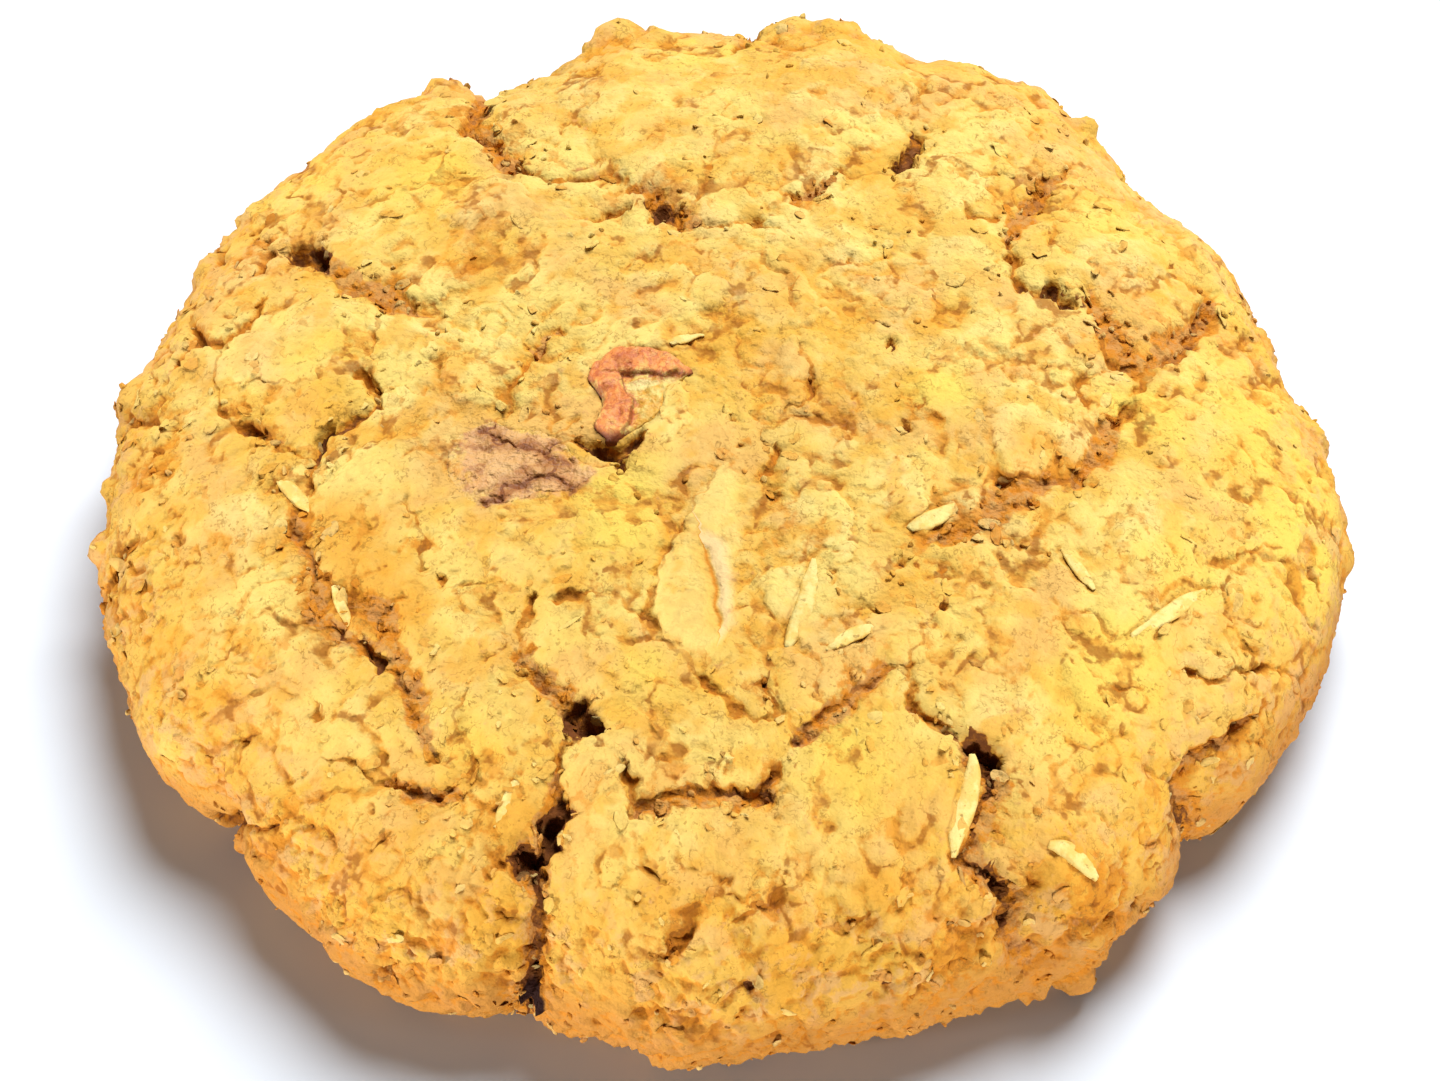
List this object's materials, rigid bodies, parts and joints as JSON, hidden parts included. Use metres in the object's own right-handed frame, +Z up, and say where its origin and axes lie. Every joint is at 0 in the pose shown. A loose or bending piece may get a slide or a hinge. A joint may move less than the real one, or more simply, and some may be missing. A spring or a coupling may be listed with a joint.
{
  "type": "cowboy cookie",
  "caption": "Thick round oat drop cookie with a cracked golden crust, a piece of pecan and a patch of melted chocolate at its top.",
  "frame": {"origin": "middle of the flat underside, on the surface that the cookie stands on", "axes": "+Z up through the crown, -Y towards the front, +X to the right"},
  "size_m": [0.0814, 0.081, 0.0203],
  "materials": {
    "dough": "dry, matt, golden baked crust with browned edges",
    "pecan": "slightly waxy red-brown skin",
    "chocolate": "dull melted chocolate under a film of dough"
  },
  "bodies": {
    "root": {"dough": "dough", "pecan_piece": "pecan", "chocolate_piece": "chocolate"}
  },
  "joints": []
}
